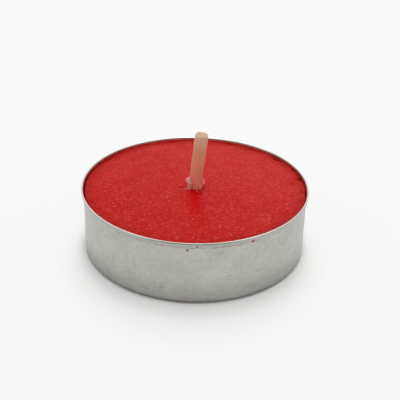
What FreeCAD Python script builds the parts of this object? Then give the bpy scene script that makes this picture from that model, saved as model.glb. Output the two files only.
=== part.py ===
import FreeCAD, Part
import enum
import math
import os
import re

import Sketcher

# Tea light candle: a wax tablet with a waxed wick, in a drawn aluminium cup.
# Millimetres. The origin is the middle of the cup's underside on the ground, and Z is up.

# Sizes, each with what it measures
SIZES = {
    "cup_height": (11.3, "top of the rim above the ground"),
    "rim_radius": (19.0, "outside of the folded rim"),
    "wall_inset": (0.35, "how much narrower the wall is than the rim, at each side"),
    "cup_sheet": (0.12, "thickness of the cup's aluminium"),
    "hem_depth": (0.95, "height of the hem, from the rim's top to its cut edge"),
    "hem_gap": (0.03, "gap between the two layers at the fold"),
    "hem_edge_gap": (0.02, "gap between the hem's cut edge and the wall"),
    "corner_radius": (1.0, "outside radius where the wall meets the foot ring"),
    "foot_width": (1.25, "width of the foot ring's flat face"),
    "panel_height": (0.45, "underside of the raised panel above the ground"),
    "step_angle": (45.0, "slope of the steps in the bottom, in degrees"),
    "bend_radius": (0.2, "inside radius of the bends in the bottom"),
    "wax_play": (0.08, "gap between the tablet and the wall"),
    "wax_recess": (0.45, "tablet's top below the rim's top"),
    "wax_bevel": (0.15, "bevel round the tablet's top"),
    "bore_play": (0.1, "gap between the wick and the tablet's bore"),
    "wick_radius": (1.1, "radius of the coated wick"),
    "wick_offset": (0.1, "wick and sustainer off the cup's middle, to the right"),
    "wick_rise": (9.75, "middle of the wick's tip above the tablet"),
    "lean_angle": (6.0, "lean of the wick to the right, in degrees"),
    "lean_height": (2.15, "height above the tablet where the upright and the leaning line meet"),
    "lean_radius": (15.0, "radius of the bend between them"),
    "tip_round": (0.25, "radius round the wick's tip"),
    "wick_foot_gap": (0.05, "cut end of the wick above the cup"),
    "petal_sweep": (120.0, "how far each petal of coat goes round the wick, in degrees"),
    "petal_foot_gap": (0.05, "foot of the petals above the tablet"),
    "left_reach": (0.68, "left petal's edge beyond the wick"),
    "left_edge_height": (1.24, "left petal's edge above the tablet"),
    "left_top_height": (1.85, "left petal's top above the tablet"),
    "right_reach": (0.46, "right petal's edge beyond the wick"),
    "right_edge_height": (0.95, "right petal's edge above the tablet"),
    "right_top_height": (1.75, "right petal's top above the tablet"),
    "sustainer_radius": (6.5, "radius of the sustainer's disc"),
    "sustainer_sheet": (0.2, "thickness of the sustainer's tinplate"),
    "sustainer_play": (0.15, "least gap between the disc and the seat's step"),
    "sustainer_headroom": (0.05, "gap between the disc and the tablet"),
    "neck_height": (3.0, "neck above the disc"),
    "neck_play": (0.04, "gap between the wick and the neck"),
    "neck_draw_radius": (0.35, "radius where the disc turns into the neck"),
    "neck_recess_play": (0.25, "gap between the neck and the tablet's recess"),
    "crimp_height": (1.7, "middle of the crimp above the disc"),
    "crimp_length": (1.3, "length of the crimp along the neck"),
    "crimp_depth": (0.2, "how far the crimp squeezes the wick, at each side"),
    "crimp_spread": (0.08, "how far the squeezed wick spreads, at each side"),
}

# Heights and radii that several pieces share, as formulas on the sizes
BOTTOM_SHIFT = "cup_sheet * tan(step_angle / 2)"
STEP_RUN = "panel_height / tan(step_angle)"
SEAT_DEPTH = "(sustainer_sheet + sustainer_headroom)"
SEAT_HEIGHT = f"(panel_height - {SEAT_DEPTH})"
SEAT_TOP = f"({SEAT_HEIGHT} + cup_sheet)"
SEAT_RUN = f"{SEAT_DEPTH} / tan(step_angle)"
SEAT_RADIUS = "(sustainer_radius + wick_offset + sustainer_play)"
WALL_RADIUS = "(rim_radius - wall_inset)"
FOOT_INSIDE = f"({WALL_RADIUS} - corner_radius - foot_width)"
HEM_WIDTH = "(2 * cup_sheet + hem_gap)"
FOLD_HEIGHT = f"(cup_height - {HEM_WIDTH} / 2)"
HEM_EDGE = "(cup_height - hem_depth)"
WAX_BOTTOM = "(panel_height + cup_sheet)"
WAX_TOP = "(cup_height - wax_recess)"
WAX_RADIUS = f"({WALL_RADIUS} - cup_sheet - wax_play)"
DISC_TOP = f"({SEAT_TOP} + sustainer_sheet)"
NECK_TOP = f"({DISC_TOP} + neck_height)"
NECK_BORE = "(wick_radius + neck_play)"
NECK_OUTSIDE = f"({NECK_BORE} + sustainer_sheet)"
WICK_FOOT = f"({SEAT_TOP} + wick_foot_gap)"
WICK_TIP = f"({WAX_TOP} + wick_rise)"
LEAN_CORNER = f"({WAX_TOP} + lean_height)"
LEAN_START = f"({LEAN_CORNER} - lean_radius * tan(lean_angle / 2))"

NEAR = 1e-4


class Axis(enum.IntEnum):
    """Axes of a sketch, as its constraints number them."""
    LEVEL = -1
    UPRIGHT = -2


class Spot(enum.IntEnum):
    """Points of a sketch's edge, as its constraints number them."""
    START = 1
    END = 2
    CENTRE = 3


ORIGIN = (Axis.LEVEL, Spot.START)

doc = FreeCAD.newDocument("tea_light_candle")
sheet = doc.addObject("Spreadsheet::Sheet", "sizes")
for row, (name, (size, note)) in enumerate(SIZES.items(), 1):
    sheet.set(f"A{row}", name)
    sheet.set(f"B{row}", str(size))
    sheet.set(f"C{row}", note)
    sheet.setAlias(f"B{row}", name)
doc.recompute()


def number(formula):
    """Value of a formula on the sizes."""
    return float(sheet.evalExpression(formula))


def bound(formula):
    """The formula as an expression for another object, with each size read from the sheet."""
    return re.sub(r"[a-z]+(_[a-z]+)+", r"sizes.\g<0>", formula)


def add_body(label):
    """Empty body for one piece."""
    body = doc.addObject("PartDesign::Body", label)
    body.Label = label
    return body


def add_sketch(body, name, role, height=None):
    """Sketch on one of the body's origin planes, raised by a formula if there is one."""
    sketch = body.newObject("Sketcher::SketchObject", name)
    plane = next(item for item in body.Origin.OriginFeatures if item.Role == role)
    sketch.AttachmentSupport = [(plane, "")]
    sketch.MapMode = "FlatFace"
    if height:
        sketch.setExpression("AttachmentOffset.Base.z", bound(height))
    return sketch


def constrain(sketch, formula, kind, *parts):
    """Adds a size constraint that follows a formula."""
    index = sketch.addConstraint(Sketcher.Constraint(kind, *parts, number(formula)))
    sketch.setExpression(f"Constraints[{index}]", bound(formula))


def hold(sketch, point, across, up):
    """Holds a point of the sketch at two formulas from the sketch's origin."""
    for kind, formula, axis in (("DistanceX", across, Axis.UPRIGHT), ("DistanceY", up, Axis.LEVEL)):
        if formula == "0":
            sketch.addConstraint(Sketcher.Constraint("PointOnObject", *point, axis))
        else:
            constrain(sketch, formula, kind, *ORIGIN, *point)


def draw_outline(sketch, corners):
    """Closed outline through held corners. A corner marked round starts a half circle over the top."""
    points = [FreeCAD.Vector(number(corner[0]), number(corner[1]), 0) for corner in corners]
    starts = []
    ends = []
    for corner, here, there in zip(corners, points, points[1:] + points[:1]):
        if corner[-1] != "round":
            edge = sketch.addGeometry(Part.LineSegment(here, there))
            starts.append((edge, Spot.START))
            ends.append((edge, Spot.END))
            continue
        middle = (here + there) / 2
        circle = Part.Circle(middle, FreeCAD.Vector(0, 0, 1), middle.distanceToPoint(here))
        edge = sketch.addGeometry(Part.ArcOfCircle(circle, 0, math.pi))
        rightwards = here.x < there.x
        starts.append((edge, Spot.END if rightwards else Spot.START))
        ends.append((edge, Spot.START if rightwards else Spot.END))
        constrain(sketch, corner[1], "DistanceY", *ORIGIN, edge, Spot.CENTRE)
    for end, start in zip(ends, starts[1:] + starts[:1]):
        sketch.addConstraint(Sketcher.Constraint("Coincident", *end, *start))
    for start, corner in zip(starts, corners):
        hold(sketch, start, corner[0], corner[1])


def draw_circle(sketch, radius, across="0"):
    """Circle about a point on the sketch's level axis."""
    middle = FreeCAD.Vector(number(across), 0, 0)
    circle = sketch.addGeometry(Part.Circle(middle, FreeCAD.Vector(0, 0, 1), number(radius)))
    hold(sketch, (circle, Spot.CENTRE), across, "0")
    constrain(sketch, radius, "Radius", circle)


def draw_oval(sketch, long_radius, short_radius):
    """Ellipse about the sketch's origin, with its long axis across."""
    right = FreeCAD.Vector(number(long_radius), 0, 0)
    top = FreeCAD.Vector(0, number(short_radius), 0)
    oval = sketch.addGeometry(Part.Ellipse(right, top, FreeCAD.Vector()))
    sketch.exposeInternalGeometry(oval)
    long_axis = oval + 1
    short_axis = oval + 2
    sketch.addConstraint(Sketcher.Constraint("Coincident", oval, Spot.CENTRE, *ORIGIN))
    sketch.addConstraint(Sketcher.Constraint("Horizontal", long_axis))
    constrain(sketch, f"2 * {long_radius}", "Distance", long_axis)
    constrain(sketch, f"2 * {short_radius}", "Distance", short_axis)


def revolve(body, name, sketch, sweep=None):
    """Turns a sketch about its upright axis: all the way, or to each side by half of a formula."""
    turned = body.newObject("PartDesign::Revolution", name)
    turned.Profile = sketch
    turned.ReferenceAxis = (sketch, ["V_Axis"])
    if sweep:
        turned.Midplane = True
        turned.setExpression("Angle", bound(sweep))
    return turned


def pad(body, name, sketch, length):
    """Raises a sketch by a formula."""
    raised = body.newObject("PartDesign::Pad", name)
    raised.Profile = sketch
    raised.setExpression("Length", bound(length))
    return raised


def pocket_up(body, name, sketch, depth):
    """Cuts a sketch upward by a formula."""
    cut = body.newObject("PartDesign::Pocket", name)
    cut.Profile = sketch
    cut.Reversed = True
    cut.setExpression("Length", bound(depth))
    return cut


def loft(body, name, kind, sections):
    """Straight-sided loft through sections, added or cut."""
    lofted = body.newObject(f"PartDesign::{kind}Loft", name)
    lofted.Profile = sections[0]
    lofted.Sections = sections[1:]
    lofted.Ruled = True
    return lofted


def ring_edges(feature, rings):
    """Names of the feature's circular edges with these radii and heights of centre."""
    names = []
    for radius, height in rings:
        for index, edge in enumerate(feature.Shape.Edges, 1):
            curve = edge.Curve
            if not isinstance(curve, Part.Circle):
                continue
            if abs(curve.Radius - number(radius)) < NEAR and abs(curve.Center.z - number(height)) < NEAR:
                names.append(f"Edge{index}")
    return names


def dress_edges(body, name, kind, feature, rings, formula):
    """Rounds (Fillet, by radius) or bevels (Chamfer, by size) ring edges of a feature."""
    doc.recompute()
    dressed = body.newObject(f"PartDesign::{kind}", name)
    dressed.Base = (feature, ring_edges(feature, rings))
    dressed.setExpression("Radius" if kind == "Fillet" else "Size", bound(formula))
    return dressed


# Cup: one sheet section turned about the upright axis
# The outside runs from the middle of the underside to the hem's cut edge, the inside runs back.
cup = add_body("cup")
seat_under = f"{SEAT_RADIUS} + {BOTTOM_SHIFT}"
panel_under = f"{FOOT_INSIDE} - {STEP_RUN}"
underside_steps = [
    (seat_under, SEAT_HEIGHT),
    (f"{seat_under} + {SEAT_RUN}", "panel_height"),
    (panel_under, "panel_height"),
    (FOOT_INSIDE, "0"),
]
inside_steps = [
    (f"{FOOT_INSIDE} + {BOTTOM_SHIFT}", "cup_sheet"),
    (f"{panel_under} + {BOTTOM_SHIFT}", WAX_BOTTOM),
    (f"{SEAT_RADIUS} + {SEAT_RUN}", WAX_BOTTOM),
    (SEAT_RADIUS, SEAT_TOP),
]
outside_corner = (WALL_RADIUS, "0")
inside_corner = (f"{WALL_RADIUS} - cup_sheet", "cup_sheet")
hem = [
    (WALL_RADIUS, HEM_EDGE),
    ("rim_radius - cup_sheet - hem_gap", FOLD_HEIGHT, "round"),
    ("rim_radius - cup_sheet", FOLD_HEIGHT),
    (f"{WALL_RADIUS} + hem_edge_gap", HEM_EDGE),
    (f"{WALL_RADIUS} + hem_edge_gap + cup_sheet", HEM_EDGE),
    ("rim_radius", FOLD_HEIGHT, "round"),
    (f"rim_radius - {HEM_WIDTH}", FOLD_HEIGHT),
    (f"{WALL_RADIUS} - cup_sheet", HEM_EDGE),
]
cup_section = add_sketch(cup, "cup_section", "XZ_Plane")
draw_outline(
    cup_section,
    [("0", SEAT_HEIGHT)] + underside_steps + [outside_corner] + hem + [inside_corner]
    + inside_steps + [("0", SEAT_TOP)],
)
cup_turned = revolve(cup, "cup_turned", cup_section)
cup_corner = dress_edges(cup, "cup_corner", "Fillet", cup_turned, [outside_corner], "corner_radius")
cup_inner_corner = dress_edges(
    cup, "cup_inner_corner", "Fillet", cup_corner, [inside_corner], "corner_radius - cup_sheet"
)
tight_bends = [inside_steps[3], underside_steps[1], underside_steps[2], inside_steps[0]]
wide_bends = [underside_steps[0], inside_steps[2], inside_steps[1], underside_steps[3]]
cup_tight_bends = dress_edges(cup, "cup_tight_bends", "Fillet", cup_inner_corner, tight_bends, "bend_radius")
dress_edges(cup, "cup_wide_bends", "Fillet", cup_tight_bends, wide_bends, "bend_radius + cup_sheet")

# Wax tablet: a pressed disc with a bevelled top, a bore for the wick and a recess for the neck
wax_tablet = add_body("wax_tablet")
tablet_disc = add_sketch(wax_tablet, "tablet_disc", "XY_Plane", WAX_BOTTOM)
draw_circle(tablet_disc, WAX_RADIUS)
tablet_pressed = pad(wax_tablet, "tablet_pressed", tablet_disc, f"{WAX_TOP} - {WAX_BOTTOM}")
tablet_top_bevel = dress_edges(
    wax_tablet, "tablet_top_bevel", "Chamfer", tablet_pressed, [(WAX_RADIUS, WAX_TOP)], "wax_bevel"
)
tablet_bottom_bevel = dress_edges(
    wax_tablet, "tablet_bottom_bevel", "Chamfer", tablet_top_bevel,
    [(WAX_RADIUS, WAX_BOTTOM)], "corner_radius - panel_height",
)
for cut_name, cut_radius, cut_top in (
    ("neck_recess", f"{NECK_OUTSIDE} + crimp_spread + neck_recess_play", f"({NECK_TOP} + neck_recess_play)"),
    ("wick_bore", "wick_radius + bore_play", WAX_TOP),
):
    cut_sketch = add_sketch(wax_tablet, f"{cut_name}_circle", "XY_Plane", WAX_BOTTOM)
    draw_circle(cut_sketch, cut_radius, "wick_offset")
    pocket_up(wax_tablet, cut_name, cut_sketch, f"{cut_top} - {WAX_BOTTOM}")

# Wick: a round cord carried up an upright line, a gentle bend and a line that leans to the right
wick = add_body("wick")
wick.setExpression("Placement.Base.x", "sizes.wick_offset")


def crimped_sections(body, name, foot, top, radius):
    """Sections of a tube or cord of this radius, squeezed to an oval where the neck is crimped."""
    middle = f"({DISC_TOP} + crimp_height)"
    levels = (
        (foot, False),
        (f"{middle} - crimp_length / 2", False),
        (middle, True),
        (f"{middle} + crimp_length / 2", False),
        (top, False),
    )
    sections = []
    for index, (height, squeezed) in enumerate(levels):
        section = add_sketch(body, f"{name}_{index}", "XY_Plane", height)
        if squeezed:
            draw_oval(section, f"({radius} + crimp_spread)", f"({radius} - crimp_depth)")
        else:
            draw_circle(section, radius)
        sections.append(section)
    return sections


def draw_wick_path(sketch, foot):
    """Upright line, a bend tangent to it, and a leaning line tangent to the bend, up to the tip."""
    low = number(LEAN_START)
    radius = number("lean_radius")
    angle = math.radians(number("lean_angle"))
    top = f"({WICK_TIP} - {LEAN_CORNER}) * tan(lean_angle)"
    bend_end = FreeCAD.Vector(radius * (1 - math.cos(angle)), low + radius * math.sin(angle), 0)
    circle = Part.Circle(FreeCAD.Vector(radius, low, 0), FreeCAD.Vector(0, 0, 1), radius)
    upright = sketch.addGeometry(Part.LineSegment(FreeCAD.Vector(0, number(foot), 0), FreeCAD.Vector(0, low, 0)))
    bend = sketch.addGeometry(Part.ArcOfCircle(circle, math.pi - angle, math.pi))
    leaning = sketch.addGeometry(
        Part.LineSegment(bend_end, FreeCAD.Vector(number(top), number(WICK_TIP), 0))
    )
    hold(sketch, (upright, Spot.START), "0", foot)
    hold(sketch, (upright, Spot.END), "0", LEAN_START)
    hold(sketch, (leaning, Spot.END), top, WICK_TIP)
    sketch.addConstraint(Sketcher.Constraint("Tangent", upright, Spot.END, bend, Spot.END))
    sketch.addConstraint(Sketcher.Constraint("Tangent", bend, Spot.START, leaning, Spot.START))
    constrain(sketch, "lean_radius", "Radius", bend)


wick_path = add_sketch(wick, "wick_path", "XZ_Plane")
draw_wick_path(wick_path, NECK_TOP)
crimped_end = crimped_sections(wick, "crimped_end", WICK_FOOT, NECK_TOP, "wick_radius")
loft(wick, "wick_end", "Additive", crimped_end)
cord_section = add_sketch(wick, "cord_section", "XY_Plane", NECK_TOP)
draw_circle(cord_section, "wick_radius")
cord = wick.newObject("PartDesign::AdditivePipe", "cord")
cord.Profile = cord_section
cord.Spine = (wick_path, [f"Edge{index}" for index in range(1, wick_path.GeometryCount + 1)])
dress_edges(wick, "wick_tip", "Fillet", cord, [("wick_radius", WICK_TIP)], "tip_round")

# Petals: coat pushed up at the wick's foot, a sharp-edged piece at its left and at its right
for side, sign in (("left", "-"), ("right", "")):
    petal = add_sketch(wick, f"{side}_petal_section", "XZ_Plane")
    inside = f"{sign}wick_radius / 2"
    draw_outline(
        petal,
        [
            (inside, f"{WAX_TOP} + petal_foot_gap"),
            (f"{sign}wick_radius", f"{WAX_TOP} + petal_foot_gap"),
            (f"{sign}(wick_radius + {side}_reach)", f"{WAX_TOP} + {side}_edge_height"),
            (f"{sign}wick_radius", f"{WAX_TOP} + {side}_top_height"),
            (inside, f"{WAX_TOP} + {side}_top_height"),
        ],
    )
    revolve(wick, f"{side}_petal", petal, "petal_sweep")

# Wick sustainer: a tinplate disc with a drawn neck, crimped on the wick
wick_sustainer = add_body("wick_sustainer")
wick_sustainer.setExpression("Placement.Base.x", "sizes.wick_offset")
disc_circle = add_sketch(wick_sustainer, "disc_circle", "XY_Plane", SEAT_TOP)
draw_circle(disc_circle, "sustainer_radius")
pad(wick_sustainer, "disc", disc_circle, "sustainer_sheet")
neck_outside = crimped_sections(wick_sustainer, "neck_outside", SEAT_TOP, NECK_TOP, NECK_OUTSIDE)
neck = loft(wick_sustainer, "neck", "Additive", neck_outside)
dress_edges(wick_sustainer, "neck_draw", "Fillet", neck, [(NECK_OUTSIDE, DISC_TOP)], "neck_draw_radius")
neck_bore = crimped_sections(wick_sustainer, "neck_bore", SEAT_TOP, NECK_TOP, NECK_BORE)
loft(wick_sustainer, "neck_hollow", "Subtractive", neck_bore)

doc.recompute()

for item in doc.Objects:
    if {"Invalid", "Error"} & set(item.State):
        raise RuntimeError(f"{item.Name} failed: {item.State}")
os.makedirs("parts", exist_ok=True)
for piece in (cup, wax_tablet, wick, wick_sustainer):
    if piece.Shape.isNull() or not piece.Shape.isValid():
        raise RuntimeError(f"{piece.Label} has no valid shape")
    if len(piece.Shape.Solids) != 1:
        raise RuntimeError(f"{piece.Label} is not one solid")
for piece in (cup, wax_tablet, wick, wick_sustainer):
    piece.Shape.exportStep(f"parts/{piece.Label}.step")
    print(piece.Label, "volume", round(piece.Shape.Volume, 2), "mm3", piece.Shape.BoundBox)
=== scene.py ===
import logging
import math
from dataclasses import dataclass, field
from enum import Enum
from typing import Callable, Sequence

import bpy
import numpy as np
from mathutils import Matrix, Vector


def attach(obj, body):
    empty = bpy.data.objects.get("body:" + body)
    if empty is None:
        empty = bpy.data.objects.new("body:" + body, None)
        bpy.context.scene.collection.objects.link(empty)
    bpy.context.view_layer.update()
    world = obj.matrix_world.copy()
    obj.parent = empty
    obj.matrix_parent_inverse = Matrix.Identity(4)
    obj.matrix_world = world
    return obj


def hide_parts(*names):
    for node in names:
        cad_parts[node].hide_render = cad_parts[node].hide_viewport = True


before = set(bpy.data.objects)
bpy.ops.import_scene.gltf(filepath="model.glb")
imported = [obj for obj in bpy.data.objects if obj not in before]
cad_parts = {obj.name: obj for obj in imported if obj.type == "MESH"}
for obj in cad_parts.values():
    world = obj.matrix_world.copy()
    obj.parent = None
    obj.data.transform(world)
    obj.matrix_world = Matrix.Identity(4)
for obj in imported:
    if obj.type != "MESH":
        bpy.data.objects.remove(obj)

LOG = logging.getLogger("tea_light")
MM = 0.001
FULL_TURN = 2 * math.pi
LATTICE = 256  # random heights along one side of the noise's lattice
STRAIGHT = 1e-6  # a turn under this, in radians, gets no arc
ARC_PIECES = 7  # pieces of an arc for each radian
SHARP_TURN = math.radians(50)
UP = np.array([[0.0, 0.0, 1.0]])
BODY = "root"
INSIDE = "inside"

Colour = tuple[float, float, float]
Point = tuple[float, float, float]


class Slot(Enum):
    """Material slots of the part's record."""

    CUP = "cup_metal"
    WAX = "tablet_wax"
    WICK = "wick_cord"


class Side(Enum):
    """Side of the wick that a petal of coat stands on, by its direction in degrees."""

    LEFT = 180.0
    RIGHT = 0.0


@dataclass(frozen=True)
class Sizes:
    """Sizes that pieces share, in millimetres, as the solids have them."""

    cup_height: float = 11.3
    rim_radius: float = 19.0
    wall_inset: float = 0.35
    cup_sheet: float = 0.12
    hem_depth: float = 0.95
    hem_gap: float = 0.03
    hem_edge_gap: float = 0.02
    wax_recess: float = 0.45
    wick_radius: float = 1.1
    wick_offset: float = 0.1
    wick_rise: float = 9.75
    panel_height: float = 0.45

    @property
    def wall_radius(self) -> float:
        """Outside radius of the wall under the hem."""
        return self.rim_radius - self.wall_inset

    @property
    def wax_top(self) -> float:
        """Height of the tablet's top."""
        return self.cup_height - self.wax_recess

    @property
    def wax_bottom(self) -> float:
        """Height of the tablet's underside."""
        return self.panel_height + self.cup_sheet

    @property
    def wick_tip(self) -> float:
        """Height of the middle of the wick's tip."""
        return self.wax_top + self.wick_rise

    @property
    def hem_edge(self) -> float:
        """Height of the hem's cut edge."""
        return self.cup_height - self.hem_depth


SIZES = Sizes()


def fade(t: np.ndarray) -> np.ndarray:
    """Smooth step from 0 to 1: 3 t squared less 2 t cubed, flat outside 0 to 1."""
    t = np.clip(t, 0.0, 1.0)
    return t * t * (3.0 - 2.0 * t)


def bell(angle: np.ndarray, middle: float, spread: float) -> np.ndarray:
    """Bell curve of the angle from a middle, the short way round, all in degrees."""
    away = (angle - middle + 180.0) % 360.0 - 180.0
    return np.exp(-0.5 * (away / spread) ** 2)


def joined(*parts: np.ndarray) -> np.ndarray:
    """Coordinates side by side along a new last axis, each spread over the shape of all."""
    return np.stack(np.broadcast_arrays(*parts), axis=-1)


def angles(points: int) -> np.ndarray:
    """Angles of this many points round a full turn, in radians."""
    return np.linspace(0.0, FULL_TURN, points, endpoint=False)


def lattice_noise(u: np.ndarray, v: np.ndarray, seed: int, wrap: int = LATTICE) -> np.ndarray:
    """Random heights on a unit lattice, blended between its points by the smooth step.

    Args:
        u: First coordinate in lattice cells, which repeats after wrap cells.
        v: Second coordinate in lattice cells.
        seed: Seed of the random heights.
        wrap: Cells after which u comes round.

    Returns:
        Values from -1 to 1, in the shape of u and v together.
    """
    heights = np.random.default_rng(seed).uniform(-1.0, 1.0, (wrap, LATTICE))
    low_u, low_v = np.floor(u).astype(int), np.floor(v).astype(int)
    across, up = fade(u - low_u), fade(v - low_v)
    left, right = low_u % wrap, (low_u + 1) % wrap
    below, above = low_v % LATTICE, (low_v + 1) % LATTICE
    bottom = heights[left, below] * (1 - across) + heights[right, below] * across
    top = heights[left, above] * (1 - across) + heights[right, above] * across
    return bottom * (1 - up) + top * up


def noise_round(degrees: np.ndarray, cells: int, v: np.ndarray, seed: int) -> np.ndarray:
    """Lattice noise with this many cells round a full turn of the angle."""
    return lattice_noise(degrees / 360 * cells, v, seed, cells)


def rounded_line(corners: Sequence[Point], step: float) -> np.ndarray:
    """Line through corners, each rounded by its radius with an arc tangent to both runs.

    An arc starts and ends radius times tan of half the turn from its corner, and a run is cut
    into equal pieces no longer than step.

    Args:
        corners: Across, up and radius of each corner.
        step: Longest piece of a straight run.

    Returns:
        Points as an array of two columns.
    """
    points = np.array([corner[:2] for corner in corners])
    radii = [corner[2] for corner in corners[1:]]
    pieces = [points[:1]]
    for here, corner, there, radius in zip(points, points[1:], points[2:], radii):
        towards, away = corner - here, there - corner
        towards, away = towards / np.linalg.norm(towards), away / np.linalg.norm(away)
        cross = towards[0] * away[1] - towards[1] * away[0]
        turn = math.atan2(cross, float(towards @ away))
        if radius > 0 and abs(turn) > STRAIGHT:
            start = corner - towards * radius * math.tan(abs(turn) / 2)
            normal = np.array([-towards[1], towards[0]]) * math.copysign(1.0, turn)
            centre = start + normal * radius
            swing = np.linspace(0.0, turn, max(3, int(abs(turn) * ARC_PIECES) + 2))[:, None]
            arm = start - centre
            turned = np.array([-arm[1], arm[0]])
            pieces.append(centre + np.cos(swing) * arm + np.sin(swing) * turned)
        else:
            pieces.append(corner[None])
    line = np.concatenate([*pieces, points[-1:]])
    runs = [line[:1]]
    for here, there in zip(line, line[1:]):
        count = max(1, math.ceil(np.linalg.norm(there - here) / step))
        runs.append(here + (there - here) * np.linspace(0, 1, count + 1)[1:, None])
    return np.concatenate(runs)


def new_object(name: str, data: bpy.types.ID) -> bpy.types.Object:
    """Object in the scene.

    Args:
        name: Name of the object.
        data: Its mesh, light or camera.

    Returns:
        The object, at the origin.
    """
    made = bpy.data.objects.new(name, data)
    bpy.context.scene.collection.objects.link(made)
    return made


def new_surface(name: str, vertices: np.ndarray, faces: list[list[int]]) -> bpy.types.Object:
    """Object with a smooth mesh.

    Args:
        name: Name of the object and the mesh.
        vertices: Rows of coordinates in millimetres.
        faces: Numbers of each face's vertices.

    Returns:
        The object, at the origin.
    """
    mesh = bpy.data.meshes.new(name)
    mesh.from_pydata((vertices * MM).tolist(), [], faces)
    mesh.validate()
    mesh.polygons.foreach_set("use_smooth", np.ones(len(mesh.polygons), bool))
    mesh.update()
    return new_object(name, mesh)


def ring_faces(rings: int, points: int, loop: bool = False) -> tuple[np.ndarray, np.ndarray]:
    """Faces over a grid of rings, each ring closed on itself.

    Four neighbours on the grid make a face, and a fan closes the first and the last ring at its
    middle, unless the rings themselves come round as a loop.

    Args:
        rings: Number of rings.
        points: Points of a ring.
        loop: Whether the last ring joins the first.

    Returns:
        Faces of four points, and the fans' faces of three, whose last points are the middles of
        the first and the last ring, numbered after the grid's own points.
    """
    index = np.arange(rings * points).reshape(rings, points)
    if loop:
        index = np.concatenate([index, index[:1]])
    beside = np.roll(index, -1, axis=1)
    quads = joined(index[:-1], beside[:-1], beside[1:], index[1:]).reshape(-1, 4)
    if loop:
        return quads, np.zeros((0, 3), int)
    middle = np.array(rings * points)
    fans = [joined(beside[0], index[0], middle), joined(index[-1], beside[-1], middle + 1)]
    return quads, np.concatenate(fans)


def grid_mesh(name: str, grid: np.ndarray, loop: bool = False) -> bpy.types.Object:
    """Closed surface over a grid of rings, in millimetres.

    Args:
        name: Name of the object.
        grid: Array of rings by points by three coordinates, each ring anticlockwise about the
            way that the rings go.
        loop: Whether the last ring joins the first, with no fans at the ends.

    Returns:
        The object, at the origin.
    """
    quads, fans = ring_faces(*grid.shape[:2], loop)
    vertices = grid.reshape(-1, 3)
    if not loop:
        vertices = np.concatenate([vertices, grid[[0, -1]].mean(axis=1)])
    piece = new_surface(name, vertices, quads.tolist() + fans.tolist())
    piece.data.set_sharp_from_angle(angle=SHARP_TURN)
    return piece


def lumps_mesh(
    name: str, centres: np.ndarray, normals: np.ndarray, radii: np.ndarray, seed: int,
    rings: int = 9, points: int = 14,
) -> bpy.types.Object:
    """Rough flattened lumps on a surface, as one mesh.

    A lump is a sphere whose radius is changed by a few per cent of noise, squeezed along the
    normal, and centred on the surface, so that its lower half is sunk in it.

    Args:
        name: Name of the object.
        centres: Middle of each lump in millimetres.
        normals: Direction that each lump stands up in, or one for all.
        radii: Radius along the surface, a second one across the first, and the height.
        seed: Seed of the roughness.
        rings: Rings from pole to pole.
        points: Points of a ring.

    Returns:
        The object, at the origin.
    """
    polar = np.linspace(0.0, math.pi, rings + 2)[1:-1]
    polar, turn = np.meshgrid(polar, angles(points), indexing="ij")
    ball = joined(np.sin(polar) * np.cos(turn), np.sin(polar) * np.sin(turn), -np.cos(polar))
    ball = np.concatenate([ball.reshape(-1, 3), -UP, UP])
    rough = np.random.default_rng(seed).uniform(0.86, 1.1, (len(centres), len(ball), 1))
    normals = normals / np.linalg.norm(normals, axis=1, keepdims=True)
    helper = np.where(np.abs(normals[:, 2:]) > 0.9, [[1.0, 0.0, 0.0]], UP)
    across = np.cross(helper, normals)
    across /= np.linalg.norm(across, axis=1, keepdims=True)
    along = np.cross(normals, across)
    axes = np.stack([across, along, normals], axis=1) * radii[:, :, None]
    vertices = centres[:, None] + (ball[None] * rough) @ axes
    shift = (np.arange(len(centres)) * len(ball))[:, None, None]
    quads, fans = (faces + shift for faces in ring_faces(rings, points))
    faces = quads.reshape(-1, 4).tolist() + fans.reshape(-1, 3).tolist()
    return new_surface(name, vertices.reshape(-1, 3), faces)


class Link:
    """A node's socket, as a vector, a colour or a shader that other nodes can take."""

    def __init__(self, nodes: "Nodes", socket: bpy.types.NodeSocket) -> None:
        """Keeps the node tree and the socket."""
        self.nodes = nodes
        self.socket = socket


def operator(operation: str, turned: bool = False) -> Callable[["Amount", "Amount | float"], "Amount"]:
    """Method of an amount that adds a Math node.

    Args:
        operation: The node's operation.
        turned: Whether the other value comes first.

    Returns:
        The method, which takes the other value and gives the result.
    """
    def result(self: "Amount", other: "Amount | float") -> "Amount":
        """The node's result."""
        return self.nodes.maths(operation, *((other, self) if turned else (self, other)))

    return result


class Amount(Link):
    """A node's socket that carries a number. An expression on it adds Math nodes."""

    __add__ = __radd__ = operator("ADD")
    __sub__, __rsub__ = operator("SUBTRACT"), operator("SUBTRACT", turned=True)
    __mul__ = __rmul__ = operator("MULTIPLY")
    __truediv__, __pow__ = operator("DIVIDE"), operator("POWER")
    larger = operator("MAXIMUM")

    def __abs__(self) -> "Amount":
        """Size without sign."""
        return self.nodes.maths("ABSOLUTE", self)

    def step(self, low: float, high: float) -> "Amount":
        """Smooth step of the number.

        Args:
            low: Where it gives 0, which may be the larger.
            high: Where it gives 1.

        Returns:
            The step, flat outside low and high.
        """
        start, end = (0.0, 1.0) if low < high else (1.0, 0.0)
        return self.nodes.number(
            "ShaderNodeMapRange", {"interpolation_type": "SMOOTHSTEP", "clamp": True},
            {0: self, 1: min(low, high), 2: max(low, high), 3: start, 4: end},
        )


Value = Link | float | Sequence[float]


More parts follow.
